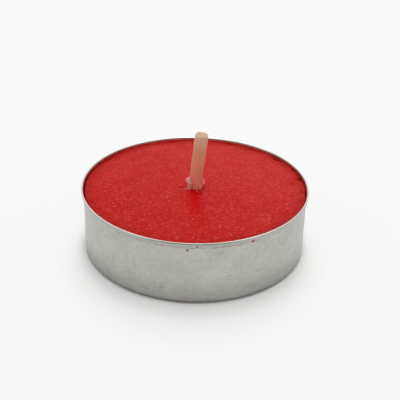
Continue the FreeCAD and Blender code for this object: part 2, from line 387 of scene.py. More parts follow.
class Nodes:
    """Nodes of one material or world, made from Python expressions."""

    def __init__(self, tree: bpy.types.NodeTree) -> None:
        """Empties the tree and keeps it.

        Args:
            tree: Node tree of the material or world.
        """
        self.tree = tree
        tree.nodes.clear()
        self._place: Link | None = None

    def add(
        self, kind: str, settings: dict | None = None, sockets: dict | None = None,
    ) -> bpy.types.Node:
        """Adds a node.

        Args:
            kind: Type of the node.
            settings: Its settings, set first. stops holds a ramp's places and colours.
            sockets: Values or links of its input sockets, by name or number.

        Returns:
            The node.
        """
        node = self.tree.nodes.new(kind)
        for name, setting in (settings or {}).items():
            if name == "stops":
                elements = node.color_ramp.elements
                while len(elements) < len(setting):
                    elements.new(1.0)
                for element, (place, colour) in zip(elements, setting):
                    element.position = place
                    element.color = (*colour, 1.0)
            else:
                setattr(node, name, setting)
        for name, value in (sockets or {}).items():
            if isinstance(value, Link):
                self.tree.links.new(value.socket, node.inputs[name])
            else:
                node.inputs[name].default_value = value
        return node

    def link(self, kind: str, settings: dict, sockets: dict, output: int | str = 0) -> Link:
        """A new node's output as a vector, a colour or a shader."""
        return Link(self, self.add(kind, settings, sockets).outputs[output])

    def number(self, kind: str, settings: dict, sockets: dict, output: int | str = 0) -> Amount:
        """A new node's output as a number."""
        return Amount(self, self.add(kind, settings, sockets).outputs[output])

    def maths(self, operation: str, *values: Amount | float) -> Amount:
        """Math node of this operation."""
        return self.number("ShaderNodeMath", {"operation": operation}, dict(enumerate(values)))

    def vector(self, operation: str, sockets: dict) -> Link:
        """Vector Math node of this operation."""
        return self.link("ShaderNodeVectorMath", {"operation": operation}, sockets)

    def place(self) -> Link:
        """Object coordinates in millimetres, made once.

        Returns:
            The vector.
        """
        if self._place is None:
            metres = self.link("ShaderNodeTexCoord", {}, {}, "Object")
            self._place = self.vector("SCALE", {0: metres, "Scale": 1.0 / MM})
        return self._place

    def axis(self, letter: str) -> Amount:
        """One object coordinate in millimetres."""
        return self.number("ShaderNodeSeparateXYZ", {}, {0: self.place()}, letter)

    def stretched(self, factors: Point | float) -> Link:
        """Object coordinates, each times its factor, or all times one."""
        factors = factors if isinstance(factors, tuple) else (factors,) * 3
        return self.vector("MULTIPLY", {0: self.place(), 1: factors})

    def attribute(self, name: str) -> Amount:
        """Number that the mesh keeps at its points."""
        return self.number("ShaderNodeAttribute", {"attribute_name": name}, {}, "Fac")

    def noise(self, cells: Link | Point | float, detail: float = 2.0, roughness: float = 0.5) -> Amount:
        """Cloudy noise around 0.5.

        Args:
            cells: Cells per millimetre, along each axis or all, or else a vector in cells.
            detail: Octaves.
            roughness: Share of each octave kept in the next.

        Returns:
            Noise from 0 to 1.
        """
        vector = cells if isinstance(cells, Link) else self.stretched(cells)
        sockets = {"Vector": vector, "Scale": 1.0, "Detail": detail, "Roughness": roughness}
        return self.number("ShaderNodeTexNoise", {}, sockets)

    def grains(self, per_mm: float, output: str = "Distance", smooth: float = 0.0) -> Amount:
        """Cells of a Voronoi texture.

        Args:
            per_mm: Cells per millimetre.
            output: Distance from the cell's point, or Color for a random number of each cell.
            smooth: How far neighbouring cells blend.

        Returns:
            The distance in cells, or the random number.
        """
        settings = {"feature": "SMOOTH_F1" if smooth else "F1"}
        sockets = {"Vector": self.stretched(per_mm), "Scale": 1.0}
        if smooth:
            sockets["Smoothness"] = smooth
        return self.number("ShaderNodeTexVoronoi", settings, sockets, output)

    def blot(self, centre: Point, reach: Point, soft: float = 0.5) -> Amount:
        """Mark round a point: 1 inside, fading to 0 at its reach along each axis.

        Args:
            centre: Middle of the mark in millimetres.
            reach: Half sizes of the mark along X, Y and Z.
            soft: Share of the reach that the edge fades over.

        Returns:
            The mark's strength.
        """
        away = self.vector("SUBTRACT", {0: self.place(), 1: centre})
        shares = self.vector("DIVIDE", {0: away, 1: reach})
        length = self.number("ShaderNodeVectorMath", {"operation": "LENGTH"}, {0: shares}, "Value")
        return length.step(1.0, 1.0 - soft)

    def mix(self, first: Link | Colour, second: Link | Colour, share: Amount) -> Link:
        """Colour between two.

        Args:
            first: Colour where the share is 0.
            second: Colour where it is 1.
            share: Share of the second.

        Returns:
            The colour.
        """
        first, second = (c if isinstance(c, Link) else (*c, 1.0) for c in (first, second))
        settings = {"data_type": "RGBA", "clamp_factor": True}
        return self.link("ShaderNodeMix", settings, {0: share, 6: first, 7: second}, 2)

    def shade(self, colour: Link, amount: Amount) -> Link:
        """Colour times a number."""
        return self.vector("SCALE", {0: colour, "Scale": amount})

    def ramp(self, amount: Amount, stops: Sequence[tuple[float, Colour]]) -> Link:
        """Colour ramp along a number."""
        return self.link("ShaderNodeValToRGB", {"stops": stops}, {0: amount})

    def bump(self, height: Amount, depth: float) -> Link:
        """Bump from a height, where 1 stands depth millimetres up."""
        sockets = {"Height": height, "Distance": depth * MM, "Strength": 1.0}
        return self.link("ShaderNodeBump", {}, sockets)


class Finish:
    """A finish that paints one material."""

    name: str

    def material(self) -> bpy.types.Material:
        """The finish's material, made once.

        Returns:
            The material.
        """
        made = bpy.data.materials.get(self.name)
        if made is None:
            made = bpy.data.materials.new(self.name)
            made.use_nodes = True
            nodes = Nodes(made.node_tree)
            shader = nodes.link("ShaderNodeBsdfPrincipled", {}, self.paint(nodes))
            nodes.add("ShaderNodeOutputMaterial", {}, {0: shader})
        return made

    def dress(self, piece: bpy.types.Object) -> None:
        """Makes this the piece's only material."""
        piece.data.materials.clear()
        piece.data.materials.append(self.material())

    def paint(self, nodes: Nodes) -> dict[str, Value]:
        """Values and links of the shader's sockets."""
        raise NotImplementedError


@dataclass(frozen=True)
class Mark:
    """A small mark on the cup's wall: where it is round the cup, how high and how large."""

    angle: float
    height: float
    width: float
    tall: float
    colour: Colour
    strength: float

    def centre(self, radius: float) -> Point:
        """Middle of the mark on a wall of this radius."""
        turn = math.radians(self.angle)
        return (radius * math.cos(turn), radius * math.sin(turn), self.height)


@dataclass(frozen=True)
class DrawnAluminium(Finish):
    """Thin drawn aluminium: satin, with fine upright drawing lines, blotches, wax at the crease, and
    painted shade and highlights.
    """

    name: str = "drawn_aluminium"
    dark: Colour = (0.400, 0.403, 0.367)
    light: Colour = (0.545, 0.550, 0.510)
    # Lighter grey for the crest of the roll: partly its polished edge and partly a painted highlight.
    crest: Colour = (0.55, 0.553, 0.520)
    # Dark reddish colour of the crease: partly wax and partly painted shade under the hem's edge.
    crease_trace_and_shade: Colour = (0.20, 0.085, 0.075)
    # Red inside the cup: partly a coat of wax and partly a painted reflection of the red wax.
    red_film_and_reflection: Colour = (0.66, 0.035, 0.015)
    roughness: float = 0.40
    marks: tuple[Mark, ...] = (
        Mark(-42.5, 7.83, 0.16, 0.16, (0.10, 0.10, 0.10), 0.7),
        Mark(-77.1, 9.30, 0.5, 0.14, (0.16, 0.15, 0.14), 0.6),
        Mark(-137.1, 10.32, 0.22, 0.13, (0.18, 0.10, 0.08), 0.7),
        Mark(-112.7, 10.62, 0.07, 0.3, (0.18, 0.17, 0.16), 0.5),
        Mark(-111.5, 10.42, 0.07, 0.35, (0.18, 0.17, 0.16), 0.5),
        Mark(-110.3, 10.21, 0.07, 0.3, (0.18, 0.17, 0.16), 0.5),
        Mark(-105.0, 2.7, 0.6, 1.5, (0.31, 0.26, 0.24), 0.3),
        Mark(-95.0, 0.35, 1.0, 0.3, (0.40, 0.05, 0.05), 0.5),
        Mark(-82.6, 0.9, 0.3, 0.2, (0.40, 0.06, 0.06), 0.5),
    )

    def paint(self, nodes: Nodes) -> dict[str, Value]:
        """Grey with drawing lines, blotches, scratches and marks, and red inside, partly a coat of wax
        and partly a painted reflection of the red wax.

        The hem's face and the roll under the crest carry painted shade, most of all in front, the crest
        is lighter, partly its polished edge and partly a painted highlight, the wall has painted shade
        towards the foot, and the crease under the hem holds wax and painted shade.

        Args:
            nodes: Nodes of the material.

        Returns:
            What the shader's sockets get.
        """
        height = nodes.axis("Z")
        lines = nodes.noise((2.4, 2.4, 0.08), 3.0, 0.6)
        fine = nodes.noise((9.0, 9.0, 0.30))
        blotches = nodes.noise((0.30, 0.30, 0.34), 4.0, 0.6)
        smears = nodes.noise((0.9, 0.9, 1.1), 3.0, 0.6)
        flecks = nodes.noise(3.6, 2.0, 0.8)
        tone = (lines - 0.5) * 0.35 + (fine - 0.5) * 0.4 + (blotches - 0.5) * 1.3 + (smears - 0.5) * 1.0
        colour = nodes.mix(self.dark, self.light, tone + (flecks - 0.5) * 1.3 + 0.55)
        around = nodes.maths("ARCTAN2", nodes.axis("Y"), nodes.axis("X")) * SIZES.wall_radius
        run = nodes.link(
            "ShaderNodeCombineXYZ", {},
            {0: around * 0.22 + height * 0.35, 1: height * 4.5 - around * 0.5},
        )
        scratch = nodes.noise(run).step(0.57, 0.69)
        worn = blotches.step(0.42, 0.58) * (abs(nodes.axis("X")) * 0.009 + 0.16)
        colour = nodes.shade(colour, 1.0 - scratch * worn * height.step(0.5, 1.6))
        inside = nodes.attribute(INSIDE)
        above = height - SIZES.hem_edge
        # Painted shade: the hem's outer face is darkened, standing in for the shadowed floor that it
        # reflects.
        hem_band_shade = above.step(-0.10, 0.05) * above.step(0.80, 0.74)
        under = nodes.noise((0.8, 0.8, 0.2))
        colour = nodes.shade(colour, 1.0 - hem_band_shade * (0.02 + under * 0.08))
        crest = above.step(0.85, 0.92)
        # Painted shade: the roll under the crest is darkened, most of all in front, standing in for the
        # darker surroundings that it reflects.
        roll = above.step(0.70, 0.78) * (1.0 - crest) * (1.0 - inside)
        front = nodes.blot((0.0, -SIZES.rim_radius, SIZES.cup_height), (11.0, 6.0, 6.0), 0.8)
        colour = nodes.shade(colour, 1.0 - roll * (front * 0.58 + 0.12))
        # Painted highlight on the crest, partly its polished edge; in front it is painted darker, a
        # painted shade.
        crest_highlight = nodes.mix(self.crest, self.dark, front)
        colour = nodes.mix(colour, nodes.shade(crest_highlight, 1.0 - front * 0.3), crest)
        # Painted shade: the wall darkens towards the foot, standing in for the reflection of the floor's
        # shadow round the cup.
        colour = nodes.shade(colour, 1.0 - height.step(5.2, 1.2) * 0.17)
        # Partly wax and partly painted shade: a broken dark line along the crease, where the hem's cut
        # edge shades the wall.
        crease = above + (nodes.noise((0.5, 0.5, 0.1)) - 0.5) * 0.35
        crease_traces_and_shade = crease.step(-0.19, -0.07) * crease.step(0.07, -0.05)
        crease_traces_and_shade = crease_traces_and_shade * nodes.noise(1.3, 3.0, 0.7).step(0.47, 0.62)
        colour = nodes.mix(colour, self.crease_trace_and_shade, crease_traces_and_shade * 0.75)
        for mark in self.marks:
            reach = (mark.width, mark.width, mark.tall)
            blot = nodes.blot(mark.centre(SIZES.wall_radius), reach, 0.7)
            colour = nodes.mix(colour, mark.colour, blot * mark.strength)
        # Partly a coat of wax and partly a painted reflection: the inner wall turns red below the rim,
        # where it faces the red wax.
        depth = (SIZES.cup_height - height).step(0.14, 0.50) * inside
        rough = (blotches - 0.5) * 0.18 + (smears - 0.5) * 0.10 + crease_traces_and_shade * 0.2 - depth * 0.2
        return {
            "Base Color": nodes.mix(colour, self.red_film_and_reflection, depth * 0.93),
            "Metallic": 1.0 - depth * 0.45, "Roughness": rough + self.roughness,
            "Normal": nodes.bump(lines * 0.5 + fine * 0.3 + smears * 0.8, 0.012),
        }


@dataclass(frozen=True)
class PressedWax(Finish):
    """Red wax pressed from granules, which show as lighter and deeper grains, with pale specks."""

    name: str = "pressed_wax"
    deep: Colour = (0.440, 0.0008, 0.0004)
    pale: Colour = (0.560, 0.0250, 0.0230)
    speck: Colour = (0.640, 0.150, 0.150)
    # Darker red near the cup's wall: painted shade.
    rim: Colour = (0.330, 0.0010, 0.0005)
    # Deep pure red in front of the wick: a painted reflection of the wick, where it hides the wax's
    # sheen.
    smooth: Colour = (0.530, 0.0005, 0.0)
    pit: Colour = (0.440, 0.0, 0.0)
    roughness: float = 0.34
    specular: float = 0.045
    wick_reflection_at: Point = (-0.1, -4.6, SIZES.wax_top)
    pit_at: Point = (-2.50, -0.17, SIZES.wax_top)
    spot_at: Point = (16.41, 1.73, SIZES.wax_top)

    def paint(self, nodes: Nodes) -> dict[str, Value]:
        """Deeper and paler red by crumbs, dust and clouds, with pale specks.

        The grain is stronger in front, and the tone paler to the back, a painted sheen. A deeper red in
        front of the wick is a painted reflection of the wick, the rim is deep red, a painted shade near
        the cup's wall, and two small pits are the deepest.

        Args:
            nodes: Nodes of the material.

        Returns:
            What the shader's sockets get.
        """
        cell = nodes.grains(2.1, "Color")
        edge = nodes.grains(2.1, "Distance", 0.35)
        cloud = nodes.noise(0.35, 4.0, 0.6)
        crumb = nodes.noise((2.0, 1.1, 1.5), 4.0, 0.7)
        dust = nodes.noise((5.5, 3.2, 5.5), 3.0, 0.6)
        right, back = nodes.axis("X"), nodes.axis("Y")
        tone = (crumb - 0.5) * (3.2 - back * 0.04) + (dust - 0.5) * (1.7 - back * 0.06)
        # Painted sheen: the tone turns paler to the back, where the wax reflects more light; it turns a
        # little paler to the right as well.
        tone = tone + (cell - 0.5) * 0.4 + (cloud - 0.5) * 1.1 + back * 0.014 + right * 0.009
        colour = nodes.mix(self.deep, self.pale, tone + 0.36)
        point = nodes.grains(1.25)
        chance = nodes.grains(1.25, "Color") - back * 0.014
        specks = point.step(0.40, 0.12) * chance.step(0.48, 0.66)
        colour = nodes.mix(colour, self.speck, specks * (0.22 - back * 0.006))
        # Painted reflection of the wick: a deeper, purer red in front of it, where the wick hides the
        # sheen.
        wick_reflection = nodes.blot(self.wick_reflection_at, (1.2, 5.6, 0.9), 0.9)
        colour = nodes.mix(colour, self.smooth, wick_reflection * 0.75)
        radius = (right ** 2 + back ** 2) ** 0.5
        # Painted shade: the wax darkens near the cup's wall, more so to the back.
        colour = nodes.mix(colour, self.rim, radius.step(16.4, 18.1) * (back * 0.012 + 0.68))
        pit = nodes.blot(self.pit_at, (0.62, 0.50, 0.9), 0.7)
        spot = nodes.blot(self.spot_at, (0.7, 0.8, 0.9), 0.7)
        relief = edge.step(0.0, 0.8) * -0.8 + dust * 0.5 + nodes.noise(1.2) * 0.8 + specks * 0.8
        return {
            "Base Color": nodes.mix(colour, self.pit, (pit + spot) * 0.9),
            "Roughness": self.roughness + (dust - 0.5) * 0.2 + (cell - 0.5) * 0.10 - pit * 0.15,
            "Specular IOR Level": self.specular, "IOR": 1.44, "Subsurface Weight": 0.9,
            "Subsurface Radius": (1.0, 0.20, 0.12), "Subsurface Scale": 0.0022,
            "Normal": nodes.bump(relief, 0.032),
        }


@dataclass(frozen=True)
class BrokenWax(Finish):
    """Wax where it is broken or rubbed: paler than the pressed face, and matt."""

    name: str = "broken_wax"
    deep: Colour = (0.46, 0.020, 0.022)
    pale: Colour = (0.66, 0.16, 0.16)
    balance: float = 0.5

    def paint(self, nodes: Nodes) -> dict[str, Value]:
        """Red that turns pale by a fine noise.

        Args:
            nodes: Nodes of the material.

        Returns:
            What the shader's sockets get.
        """
        dust = nodes.noise(3.1, 3.0)
        return {
            "Base Color": nodes.mix(self.deep, self.pale, (dust - 0.5) * 2.0 + self.balance),
            "Roughness": 0.45 + dust * 0.2, "Specular IOR Level": 0.25,
            "Normal": nodes.bump(dust, 0.03),
        }


@dataclass(frozen=True)
class WaxedCord(Finish):
    """Cotton cord soaked in wax: cream at the tip, redder towards the tablet, with lines of strands."""

    name: str = "waxed_cord"
    stops: tuple[tuple[float, Colour], ...] = (
        (0.00, (0.92, 0.280, 0.200)),
        (0.14, (0.93, 0.345, 0.252)),
        (0.33, (0.92, 0.368, 0.250)),
        (0.52, (0.87, 0.400, 0.245)),
        (0.70, (0.80, 0.370, 0.230)),
        (0.88, (0.79, 0.500, 0.370)),
        (1.00, (0.74, 0.520, 0.400)),
    )
    core: Colour = (0.60, 0.49, 0.36)
    rim: Colour = (0.48, 0.325, 0.225)
    tan: Colour = (0.74, 0.46, 0.27)
    core_at: Point = (1.05, 0.42, 20.62)
    rim_at: Point = (0.90, 0.0, 20.62)

    def paint(self, nodes: Nodes) -> dict[str, Value]:
        """Colour by height, with upright strands lighter and darker, and a cream core at the tip.

        Args:
            nodes: Nodes of the material.

        Returns:
            What the shader's sockets get.
        """
        height = nodes.axis("Z")
        rise = (height - SIZES.wax_top) / SIZES.wick_rise
        strands = nodes.noise((2.6, 2.6, 0.10), 2.0, 0.6)
        fibres = nodes.noise((8.0, 8.0, 0.35))
        patches = nodes.noise((0.8, 0.8, 0.45), 3.0)
        colour = nodes.ramp(rise + (strands - 0.5) * 0.16 + (patches - 0.5) * 0.22, self.stops)
        bare = nodes.noise((3.1, 3.1, 0.13)).step(0.47, 0.60) * rise.step(0.35, 0.65)
        colour = nodes.mix(colour, self.tan, bare * 0.55)
        colour = nodes.shade(colour, 0.93 + strands * 0.14 + (fibres - 0.5) * 0.14)
        core = nodes.blot(self.core_at, (0.66, 0.52, 0.5))
        ring = nodes.blot(self.rim_at, (1.15, 1.15, 0.55), 0.35)
        colour = nodes.mix(colour, self.rim, ring * 0.9)
        return {
            "Base Color": nodes.mix(colour, self.core, core * 0.9),
            "Roughness": 0.42 + (fibres - 0.5) * 0.2,
            "Specular IOR Level": 0.3, "Subsurface Weight": 0.5,
            "Subsurface Radius": (1.0, 0.6, 0.4), "Subsurface Scale": 0.0006,
            "Normal": nodes.bump(strands * 0.8 + fibres * 0.3, 0.05),
        }


@dataclass(frozen=True)
class PaleCoat(Finish):
    """Thin coat of wax pushed off the wick: pale pink, a little see-through."""

    name: str = "pale_coat"
    # The foot is lighter than the upper edge: painted light through the thin coat.
    low: Colour = (0.98, 0.38, 0.32)
    high: Colour = (0.71, 0.280, 0.262)
    glow: float = 0.0012

    def paint(self, nodes: Nodes) -> dict[str, Value]:
        """From the foot's lighter colour, painted light through the thin coat, to the upper edge's
        colour, with cloudy patches.

        Args:
            nodes: Nodes of the material.

        Returns:
            What the shader's sockets get.
        """
        patches = nodes.noise(1.6, 3.0)
        # Painted light: the foot is painted lighter, standing in for light through the thin coat where
        # its underside is in shade.
        share = (nodes.axis("Z") - SIZES.wax_top).step(0.1, 1.0) + (patches - 0.5) * 0.6
        return {
            "Base Color": nodes.mix(self.low, self.high, share),
            "Roughness": 0.36 + patches * 0.15, "Specular IOR Level": 0.3,
            "Subsurface Weight": 1.0, "Subsurface Radius": (1.0, 0.6, 0.5),
            "Subsurface Scale": self.glow, "Normal": nodes.bump(patches, 0.06),
        }


@dataclass(frozen=True)
class Tinplate(Finish):
    """Bright tinplate with a fine rolled grain."""

    name: str = "tinplate"
    dark: Colour = (0.50, 0.50, 0.49)
    light: Colour = (0.66, 0.66, 0.64)

    def paint(self, nodes: Nodes) -> dict[str, Value]:
        """Grey with rolled lines along X.

        Args:
            nodes: Nodes of the material.

        Returns:
            What the shader's sockets get.
        """
        grain = nodes.noise((0.4, 6.0, 6.0), 3.0)
        return {
            "Base Color": nodes.mix(self.dark, self.light, grain), "Metallic": 1.0,
            "Roughness": 0.25 + grain * 0.2, "Normal": nodes.bump(grain, 0.004),
        }


@dataclass(frozen=True)
class PaleFloor(Finish):
    """Plain pale paper under the candle."""

    name: str = "pale_floor"
    first: Colour = (0.895, 0.895, 0.890)
    second: Colour = (0.925, 0.925, 0.925)

    def paint(self, nodes: Nodes) -> dict[str, Value]:
        """White with a hardly visible cloud, and painted light: a little lighter to the back.

        Args:
            nodes: Nodes of the material.

        Returns:
            What the shader's sockets get.
        """
        # Painted light: the floor is a little lighter to the back, where it is lit more.
        share = nodes.noise(0.02) * 0.3 + nodes.axis("Y").step(-75.0, 60.0) * 0.85
        return {
            "Base Color": nodes.mix(self.first, self.second, share), "Roughness": 0.9,
            "Specular IOR Level": 0.0,
        }


def settle(piece: bpy.types.Object, finish: Finish, solid: str = "") -> bpy.types.Object:
    """Gives a piece its finish, and lets it ride on the part's body.

    Args:
        piece: The piece, in place.
        finish: Its finish.
        solid: Solid that it stands for, or none.

    Returns:
        The piece.
    """
    finish.dress(piece)
    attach(piece, BODY)
    if solid:
        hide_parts(solid)
    LOG.info("%s: %d faces", piece.name, len(piece.data.polygons))
    return piece


@dataclass
class Cup:
    """Drawn cup: one thin sheet from the seat in the bottom to the folded hem at the rim.

    A row of rim_bends gives the middle and spread of a bend in degrees, and its size.
    """

    corner_radius: float = 1.0
    foot_width: float = 1.25
    seat_depth: float = 0.25
    seat_radius: float = 6.75
    seat_hub: float = 0.4
    bend_radius: float = 0.2
    step_slope: float = 45.0
    hem_hollow: float = 0.05
    dent: float = 0.035
    dents_outside: float = 17.6
    dents_above: float = 0.8
    calm_above: float = 9.0
    points: int = 400
    roll_points: int = 17
    roll_points_inside: int = 4
    rim_bends: tuple[Point, ...] = ((38.0, 16.0, 0.03), (152.0, 24.0, 0.12), (193.0, 10.0, 0.04))
    finish: Finish = DrawnAluminium()

    def section(self) -> tuple[np.ndarray, np.ndarray, np.ndarray]:
        """Section of the sheet, from the middle of the underside, round the hem and back inside.

        Runs and arcs as in the solid. The hem's face is drawn in a little below the roll.

        Returns:
            Points across and up in millimetres, and for each point whether it is on the hem's
            outer layer and whether it is inside the cup.
        """
        s = SIZES
        shift = s.cup_sheet * math.tan(math.radians(self.step_slope / 2))
        foot_inside = s.wall_radius - self.corner_radius - self.foot_width
        seat_height = s.panel_height - self.seat_depth
        wide = self.bend_radius + s.cup_sheet
        hem_width = 2 * s.cup_sheet + s.hem_gap
        half = hem_width / 2
        fold = s.cup_height - half
        edge, layer = s.wall_radius + s.hem_edge_gap, s.rim_radius - s.cup_sheet
        under = rounded_line([
            (self.seat_hub, seat_height, 0), (self.seat_radius + shift, seat_height, wide),
            (self.seat_radius + shift + self.seat_depth, s.panel_height, self.bend_radius),
            (foot_inside - s.panel_height, s.panel_height, self.bend_radius),
            (foot_inside, 0, wide), (s.wall_radius, 0, self.corner_radius),
            (s.wall_radius, s.hem_edge, 0),
        ], 0.36)
        between = np.array([(layer - s.hem_gap, fold), (layer, fold)])
        hem = rounded_line([
            (edge, s.hem_edge, 0), (edge + s.cup_sheet, s.hem_edge, 0.05),
            (s.rim_radius - self.hem_hollow, fold - 0.38, 0.3),
            (s.rim_radius - self.hem_hollow * 0.9, fold - 0.24, 0.15),
            (s.rim_radius, fold - 0.04, 0),
        ], 0.1)
        swing = np.linspace(0.0, math.pi, self.roll_points)
        roll = joined(s.rim_radius - half + half * np.cos(swing), fold + half * np.sin(swing))
        inner = s.wall_radius - s.cup_sheet
        inside = rounded_line([
            (s.rim_radius - hem_width, fold - 0.02, 0), (inner, s.hem_edge, 0.5),
            (inner, s.cup_sheet, self.corner_radius - s.cup_sheet),
            (foot_inside + shift, s.cup_sheet, self.bend_radius),
            (foot_inside - s.panel_height + shift, s.wax_bottom, wide),
            (self.seat_radius + self.seat_depth, s.wax_bottom, wide),
            (self.seat_radius, seat_height + s.cup_sheet, self.bend_radius),
            (self.seat_hub, seat_height + s.cup_sheet, 0),
        ], 0.9)
        line = np.concatenate([under, between, hem, roll, inside])
        order = np.arange(len(line)) - len(under) - len(between)
        outer = (order >= 0) & (order < len(hem))
        within = order >= len(hem) + self.roll_points - self.roll_points_inside
        return line, outer, within

    def build(self) -> bpy.types.Object:
        """Turns the section and moves it as a handled foil cup is.

        At an angle the radius is the section's, plus the rim's bends times the height's share,
        plus dents in the wall. The hem's cut edge goes up and down by a few hundredths.

        Returns:
            The cup's object.
        """
        line, outer, within = self.section()
        turn = angles(self.points)
        degrees = np.degrees(turn)[None, :]
        radius, height = line[:, :1], line[:, 1:]
        share = fade(height / SIZES.cup_height)
        bend = sum(size * bell(degrees, middle, spread) for middle, spread, size in self.rim_bends)
        wall = fade((radius - self.dents_outside) / 0.8) * fade((height - self.dents_above) / 2.0)
        calm = 1 - 0.6 * fade((height - self.calm_above) / 1.2)
        dents = noise_round(degrees, 26, height / 3.6 + 3, 11) * 0.7
        dents = dents + noise_round(degrees, 61, height / 2.1 + 9, 12) * 0.3
        radius = radius + bend * share + dents * wall * calm * self.dent
        ragged = 1.0 + 0.05 * noise_round(degrees, 75, height * 0, 13)
        ragged = ragged + 0.04 * noise_round(degrees, 23, height * 0, 14)
        fold = SIZES.cup_height - SIZES.cup_sheet - SIZES.hem_gap / 2
        height = np.where(outer[:, None] & (height < fold), fold - (fold - height) * ragged, height)
        grid = joined(radius * np.cos(turn), radius * np.sin(turn), height)
        piece = grid_mesh("cup_shell", grid)
        inner = np.broadcast_to(within[:, None], grid.shape[:2]).ravel()
        mark = piece.data.attributes.new(INSIDE, "FLOAT", "POINT")
        mark.data.foreach_set("value", np.concatenate([inner, [0.0, 1.0]]).astype(np.float32))
        return settle(piece, self.finish, "cup")


@dataclass
class WaxTablet:
    """Pressed tablet of wax, with a crumbled top edge, and the wick's bore and the neck's recess.

    A row of chips gives the middle and spread in degrees, and the depth inward and down. A row
    of pits gives x, y, the reach along each, and the depth.
    """

    radius: float = 18.45
    bevel: float = 0.12
    spread: float = 0.13
    bore: float = 1.13
    mouth: float = 0.5
    margin: float = 2.2
    worked_depth: float = 1.2
    recess_radius: float = 1.67
    recess_top: float = 3.77
    bottom_bevel: float = 0.55
    swell: float = 0.035
    grain: float = 0.016
    dish: float = 0.02
    points: int = 480
    chips: tuple[tuple[float, float, float, float], ...] = (
        (38.3, 2.4, 0.30, 0.20), (12.0, 1.6, 0.28, 0.22), (22.0, 1.2, 0.15, 0.13),
        (55.0, 1.8, 0.14, 0.12), (71.0, 2.6, 0.12, 0.10), (-4.0, 1.2, 0.16, 0.14),
        (104.0, 2.0, 0.10, 0.10), (148.0, 2.5, 0.10, 0.10), (-150.0, 2.0, 0.08, 0.08),
        (-60.0, 1.6, 0.06, 0.08), (200.0, 2.0, 0.10, 0.10),
    )
    pits: tuple[tuple[float, float, float, float, float], ...] = (
        (-2.53, -0.17, 0.34, 0.26, 0.22), (16.41, 1.73, 0.35, 0.35, 0.10),
    )
    finish: Finish = PressedWax()

    def section(self) -> tuple[np.ndarray, np.ndarray]:
        """Section of the tablet: underside, side, top edge, face, bore and recess.

        Returns:
            Distances across and heights in millimetres, as columns.
        """
        low, top = SIZES.wax_bottom, SIZES.wax_top
        worked = top - self.worked_depth
        sides = rounded_line([
            (self.recess_radius, low, 0), (self.radius - self.bottom_bevel, low, 0),
            (self.radius, low + self.bottom_bevel, 0), (self.radius, worked, 0),
        ], 2.4)
        edge = rounded_line([
            (self.radius, worked, 0), (self.radius, top - 0.55, 0.3),
            (self.radius + self.spread, top - self.bevel - 0.1, 0.08),
            (self.radius + self.spread - self.bevel, top, 0.12),
            (self.radius - self.margin, top, 0),
        ], 0.11)
        mouth = self.bore + self.mouth
        face = np.linspace(self.radius - self.margin, mouth, 62)[1:]
        face = np.concatenate([face, np.linspace(mouth, self.bore, 6)[1:]])
        down = rounded_line([
            (self.bore, top - 0.3, 0), (self.bore, self.recess_top, 0),
            (self.recess_radius, self.recess_top, 0), (self.recess_radius, low + 0.5, 0),
        ], 2.5)
        line = np.concatenate([sides[:-1], edge, joined(face, np.array(top)), down])
        return line[:, :1], line[:, 1:]

    def build(self) -> bpy.types.Object:
        """Turns the tablet's section about the bore, as a loop.

        The top is lifted by a wide noise, two fine ones and a low mound round the wick, less a
        shallow dish and two pits. The edge crumbles by noise round the tablet, and near it a chip
        takes away depth by a bell curve of its angle.

        Returns:
            The tablet's object.
        """
        top = SIZES.wax_top
        across, up = self.section()
        turn = angles(self.points)[None, :]
        degrees = np.degrees(turn)
        outward = fade((across - self.bore - 0.2) / (self.radius - self.bore - 0.2))
        outward = np.where(across >= self.radius - 0.01, 1.0, outward)
        x = across * np.cos(turn) + SIZES.wick_offset * (1 - outward)
        y = across * np.sin(turn)
        upper = fade((up - (top - self.worked_depth)) / 0.8)
        near_edge = fade((across - (self.radius - 0.8)) / 0.8) * upper
        rough = lattice_noise(x / 0.8, y / 0.8, 21) * 0.45 + lattice_noise(x / 0.42, y / 0.42, 22) * 0.55
        swell = lattice_noise(x / 4.3, y / 4.3, 23) * self.swell
        lift = swell + rough * self.grain - self.dish * fade(1 - across / 9)
        lift = lift + 0.05 * np.exp(-(((across - self.bore) / 0.35) ** 2))
        for pit_x, pit_y, reach_x, reach_y, depth in self.pits:
            away = ((x - pit_x) / reach_x) ** 2 + ((y - pit_y) / reach_y) ** 2
            lift = lift - depth * np.exp(-away)
        crumble = noise_round(degrees, 150, up * 2.2, 24) * 0.6
        crumble = crumble + noise_round(degrees, 61, up * 1.1, 25) * 0.4
        inward = near_edge * (0.03 + 0.05 * crumble)
        drop = near_edge * np.clip(0.03 + 0.07 * crumble, 0, None)
        lip = upper * fade((across - (self.radius - 1.3)) / 1.0)
        for middle, spread, size, depth in self.chips:
            reach = bell(degrees, middle, spread)
            inward = inward + reach * size * near_edge
            drop = drop + reach * depth * lip
        z = np.minimum(up + upper * lift - drop, top + 0.08)
        scale = 1 - inward / np.maximum(across, 1.0)
        piece = grid_mesh("wax_body", joined(x * scale, y * scale, z), loop=True)
        return settle(piece, self.finish, "wax_tablet")


